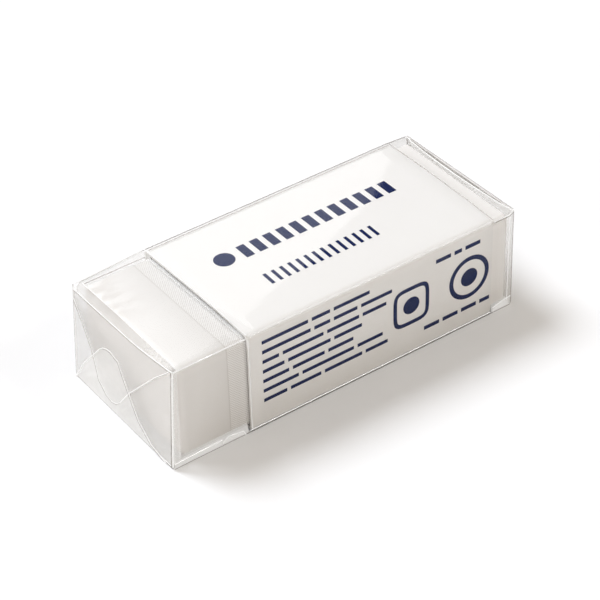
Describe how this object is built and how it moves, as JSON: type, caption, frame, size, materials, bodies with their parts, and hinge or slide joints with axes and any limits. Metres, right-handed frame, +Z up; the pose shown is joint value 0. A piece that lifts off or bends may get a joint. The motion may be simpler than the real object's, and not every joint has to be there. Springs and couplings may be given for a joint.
{
  "type": "vinyl eraser",
  "caption": "Pocket vinyl eraser: white moulded block in a folded card sleeve, sealed in clear film with envelope-folded ends",
  "frame": {"origin": "middle of the underside of the wrapped eraser, on the surface it rests on", "axes": "X along the length with the longer bare end at -X, Y across the width, Z up"},
  "size_m": [0.0474, 0.02, 0.0137],
  "materials": {
    "vinyl": "smooth matte vinyl",
    "card": "coated white card with navy print",
    "film": "clear glossy film"
  },
  "bodies": {
    "root": {"eraser_block": "vinyl", "card_sleeve": "card", "film_wrap": "film"}
  },
  "joints": []
}
